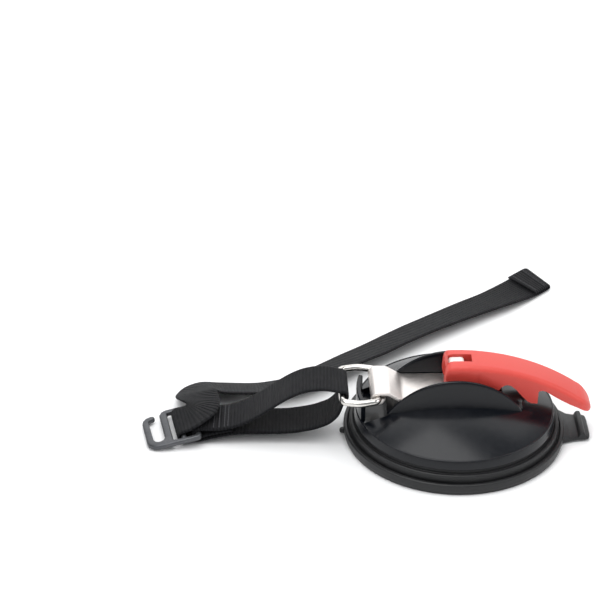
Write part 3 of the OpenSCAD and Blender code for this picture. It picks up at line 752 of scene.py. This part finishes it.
mid_bar, end_bar = on_buckle(20.2, 1.5), on_buckle(28.2, 1.5)
lines = ([across(p[:3], -2)
          for p in ((-121, 3.6, 8.6), (-127.7, 3.8, 7), (-133, 4, 5.6), (-137.6, 3.9, 4.2))]
         + wrap(end_bar, 2.55, -60, -285, 9)
         + [across(p, -2.7)
            for p in ((-133, 4, 8.7), (-127.7, 3.8, 8.9), (-121, 3.4, 10.5), (-116.7, 3, 12.2),
                      (-111.5, 3, 14.7), (-106, 2.7, 18.3), (-100.5, 2.5, 22.4), (-95, 2.3, 26.5),
                      (-90, 2, 30), (-84.5, 2, 32.7), (-79.5, 2, 34.2), (-74, 1.6, 35.1), (-69, 1, 35.2))]
         + wrap((-62.1, 0.5, 31.2), 2.95, 105, -70, 0)
         + [across(p, -2)
            for p in ((-62, 0.4, 24.5), (-64, 0.6, 19), (-68, 1, 14.4), (-73, 1.5, 11.6), (-79, 2, 9.4),
                      (-90, 3, 7), (-100, 3.3, 6.6), (-110, 3.6, 6.5), (-120, 3.8, 6), (-127.7, 3.9, 4.7),
                      (-133, 3.9, 3.4), (-138, 3.7, 2.3), (-144, 3.4, 1.9))]
         + wrap(np.add(mid_bar, (0, 0, 0.4)), 2.95, -80, -265, 9))
tail = ((-147.5, 15, 9.2, -81, 1.5), (-146.3, 16.5, 9.8, -67, 6.5), (-147.3, 18.5, 9.8, -47, 9),
        (-149.5, 21.5, 8.8, -28, 11), (-151.5, 26, 7, -16, 13), (-152.3, 31.5, 4.8, -13, 17),
        (-151.2, 38, 2.6, -22, 20), (-147.5, 45.5, 1.4, -42, 21), (-138.6, 51, 1.2, -68, 21),
        (-127, 50.4, 1.2, -84, 20), (-110, 49.5, 1.2, -88, 20), (-100, 51, 1.2, -80, 20),
        (-90, 54.5, 1.2, -70, 19), (-80, 61, 1.2, -59, 19), (-70, 69, 1.2, -53, 18),
        (-58, 78.8, 1.1, -51, 18), (-46, 88, 1, -51, 17), (-34, 98, 1, -51, 17),
        (-21, 108.6, 1, -51, 16), (-9, 117.6, 1, -53, 15), (3.6, 127, 1, -53, 13),
        (16, 136, 1, -54, 11), (29, 145, 1, -53, 9), (42, 156, 1, -53, 4), (50, 163.5, 1, -56, 1),
        (58, 171, 1, -60, 0), (59.3, 171.8, 1.9, -60, 0), (58, 171, 2.7, -60, 0),
        (47.5, 161.2, 2.7, -55, 2))
lines += [tail_line(*v) for v in tail]
edges = np.array(lines)


def ribbon(rows, thick, n=22):
    """Webbing: a grid between its two edge lines, given thickness along its own normal, with rounded
    selvedges."""
    mid = (rows[:, :3] + rows[:, 3:]) / 2
    full = smooth_path(np.column_stack([mid, rows[:, :3] - mid]), 1.0)
    mid, half = full[:, :3], full[:, 3:]
    t = np.gradient(mid, axis=0)
    t /= np.linalg.norm(t, axis=1)[:, None]
    nrm = np.cross(t, half)
    nrm /= np.linalg.norm(nrm, axis=1)[:, None]
    s = np.linspace(-1, 1, n)
    edge = np.sqrt(np.maximum(1 - ((np.abs(s) - 0.94).clip(0) / 0.06) ** 2, 0.06))
    top = mid[:, None] + half[:, None] * s[None, :, None] + nrm[:, None] * (thick / 2 * edge)[None, :, None]
    low = mid[:, None] + half[:, None] * s[None, :, None] - nrm[:, None] * (thick / 2 * edge)[None, :, None]
    run = np.r_[0, np.cumsum(np.linalg.norm(np.diff(mid, axis=0), axis=1))]
    loop = np.concatenate([top, low[:, ::-1]], 1)
    uv = np.concatenate([np.broadcast_to(s * WEB_HALF, (len(mid), n)), np.broadcast_to(s[::-1]
        * WEB_HALF, (len(mid), n))], 1)
    return loop, np.stack([uv, np.broadcast_to(run[:, None], uv.shape)], -1) * 0.001, run[-1], mid, half, nrm


loop, loop_uv, web_run, web_mid, web_half, web_nrm = ribbon(edges, WEB_THICK)
strap = piece("strap_webbing_nylon", [loft(loop)], "strap", ["strap_webbing"], webbing, sharp=70)
lay = strap.data.uv_layers.new(name="cloth")
idx = np.empty(len(strap.data.loops), int)
strap.data.loops.foreach_get("vertex_index", idx)
lay.data.foreach_set("uv", loop_uv.reshape(-1, 2)[idx].ravel())

# ---------------------------------------------------------------- buckle
outline = filleted([(0.0, -10.2), (0.6, -12.6), (3, -15), (6, -16.0), (9, -16.2), (29.7, -16.2), (29.7, 16.2),
                    (14, 16.2), (11.6, 15.2),
                    (10.2, 12.7), (10.2, -8.8), (9.1, -10.9), (6.8, -11.8), (4.8, -10.6), (3.9, -8.2),
                    (3.6, 8.4), (4.6, 10.2), (6.6, 10.6),
                    (7.6, 11.8), (7, 13.2), (5.4, 13.6), (2.6, 12.8), (0.6, 10.6), (0, 8)],
                   [2, 2, 3, 3, 4, 2.4, 2.4, 2.5, 2, 2, 1.6, 1.6, 2, 1.6, 2, 2, 1, 0.8, 0.8, 0.8, 1.2, 2, 2,
                    3], 6)
hole_a = filleted([(14.4, -13.2), (27.0, -13.2), (27.0, 13.2), (14.4, 13.2)], 1.2, 6)


def flat_casting(name, loops, thick, round_):
    """Plate from closed outlines, its edges rounded all along them."""
    cu = bpy.data.curves.new(name, "CURVE")
    cu.dimensions, cu.fill_mode = "2D", "BOTH"
    cu.extrude, cu.bevel_depth, cu.bevel_resolution, cu.offset = (thick / 2
        - round_) * 0.001, round_ * 0.001, 3, -round_ * 0.001
    for pts in loops:
        sp = cu.splines.new("POLY")
        sp.points.add(len(pts) - 1)
        flat = np.column_stack([np.asarray(pts) * 0.001, np.zeros(len(pts)), np.ones(len(pts))])
        sp.points.foreach_set("co", flat.ravel())
        sp.use_cyclic_u = True
    tmp = bpy.data.objects.new(name, cu)
    scene.collection.objects.link(tmp)
    bpy.context.view_layer.update()
    mesh = bpy.data.meshes.new_from_object(tmp.evaluated_get(bpy.context.evaluated_depsgraph_get()))
    bpy.data.objects.remove(tmp)
    v = np.array([q.co[:] for q in mesh.vertices]) * 1000
    f = [list(q.vertices) for q in mesh.polygons]
    bpy.data.meshes.remove(mesh)
    return v, f


cv, cf = flat_casting("hook outline", [outline, hole_a], 3.0, 0.9)
lay_down = np.array([on_buckle(a, b_, c) for a, c, b_ in ((0, 0, 0), (1, 0, 0), (0, 1, 0), (0, 0, 1))])
axes = lay_down[1:] - lay_down[0]
cast = lay_down[0] + cv[:, :1] * axes[0] + cv[:, 1:2] * axes[1] + (cv[:, 2:] + 1.5) * axes[2]


def buckle_bar(a):
    """Round bar across the buckle, a from its outer end."""
    v, f = round_bar((0, 0), 1.5, 14.6, 0.2, 24)
    return lay_down[0] + (v[:, :1] + a) * axes[0] + v[:, 1:2] * axes[1] + (v[:, 2:] + 1.5) * axes[2], f


piece("buckle_casting", [(cast, cf), buckle_bar(20.2), buckle_bar(28.2)], "buckle", ["hook_buckle"],
      zinc, sharp=50)

# ---------------------------------------------------------------- stitches
THREAD_LIFT = 0.75


def stitch_rows(name, node, rows, body="strap"):
    """Rows of lock stitches on the upper face of the webbing: each is a short bowed thread that dips in at
    its ends."""
    shells = []
    for start, end, up, lift in rows:
        start, end, up = (np.asarray(q, float) for q in (start, end, up))
        n = int(np.linalg.norm(end - start) / 2.3)
        for k in range(n):
            a, b = start + (end - start) * (k + 0.1) / n, start + (end - start) * (k + 0.92) / n
            u = np.linspace(0, 1, 6)[:, None]
            shells.append(tube(a + (b - a) * u + up * (lift + 0.28 * np.sin(u * pi) - 0.08),
                               0.3, 6, ring=False))
    return piece(name, shells, body, [node], thread, sharp=80)


def nearest_row(point):
    """Row of the webbing whose middle lies nearest a point."""
    return int(np.argmin(np.linalg.norm(web_mid - np.asarray(point), axis=1)))


loop_rows = []
for p in ((-122.6, 3.5, 10.1), (-125.2, 3.7, 9.6), (-127.8, 3.8, 9.0), (-130.4, 3.9, 8.8)):
    k = nearest_row(p)
    up = web_nrm[k] * (1 if web_nrm[k][2] > 0 else -1)
    loop_rows.append((web_mid[k] - web_half[k] * 0.86, web_mid[k] + web_half[k] * 0.86, up, THREAD_LIFT))
stitch_rows("loop_stitches", "loop_stitching", loop_rows)
hem_rows = []
for back_by in (2.0, 11.0):
    k = int(np.argmin(abs(np.linspace(0, web_run, len(web_mid)) - (web_run - back_by))))
    up = web_nrm[k] * (1 if web_nrm[k][2] > 0 else -1)
    hem_rows.append((web_mid[k] - web_half[k] * 0.88, web_mid[k] + web_half[k] * 0.88, up, THREAD_LIFT))
stitch_rows("hem_stitches", "hem_stitching", hem_rows)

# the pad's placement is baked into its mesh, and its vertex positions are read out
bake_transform(pad)
pv = np.empty(len(pad.data.vertices) * 3)
pad.data.vertices.foreach_get("co", pv)

# ---------------------------------------------------------------- floor and light
floor_mesh = bpy.data.meshes.new("floor")
floor_mesh.from_pydata([(-6, -6, -0.0002), (6, -6, -0.0002), (6, 6, -0.0002), (-6, 6, -0.0002)], [],
                       [(0, 1, 2, 3)])
floor = bpy.data.objects.new("floor", floor_mesh)
scene.collection.objects.link(floor)
fm = bpy.data.materials.new("pale floor")
fm.use_nodes = True
fm.node_tree.nodes["Principled BSDF"].inputs["Base Color"].default_value = (0.93, 0.93, 0.93, 1)
fm.node_tree.nodes["Principled BSDF"].inputs["Roughness"].default_value = 0.9
floor_mesh.materials.append(fm)

world = bpy.data.worlds.new("soft room")
scene.world = world
world.use_nodes = True
world.node_tree.nodes["Background"].inputs["Color"].default_value = (0.95, 0.97, 1.0, 1)
world.node_tree.nodes["Background"].inputs["Strength"].default_value = 0.42
softbox("top light", (-0.25, -0.15, 1.5), (0, 0.05, 0), 1.5, 20)
softbox("side light", (1.3, -0.2, 0.9), (0, 0, 0.02), 0.8, 5)
softbox("front light", (-0.9, -1.1, 1.0), (0, 0, 0.02), 0.7, 5)
softbox("rear wall light", (0.15, 1.6, 1.0), (0, 0, 0.02), 2.2, 17)
scene.view_settings.view_transform = "Standard"
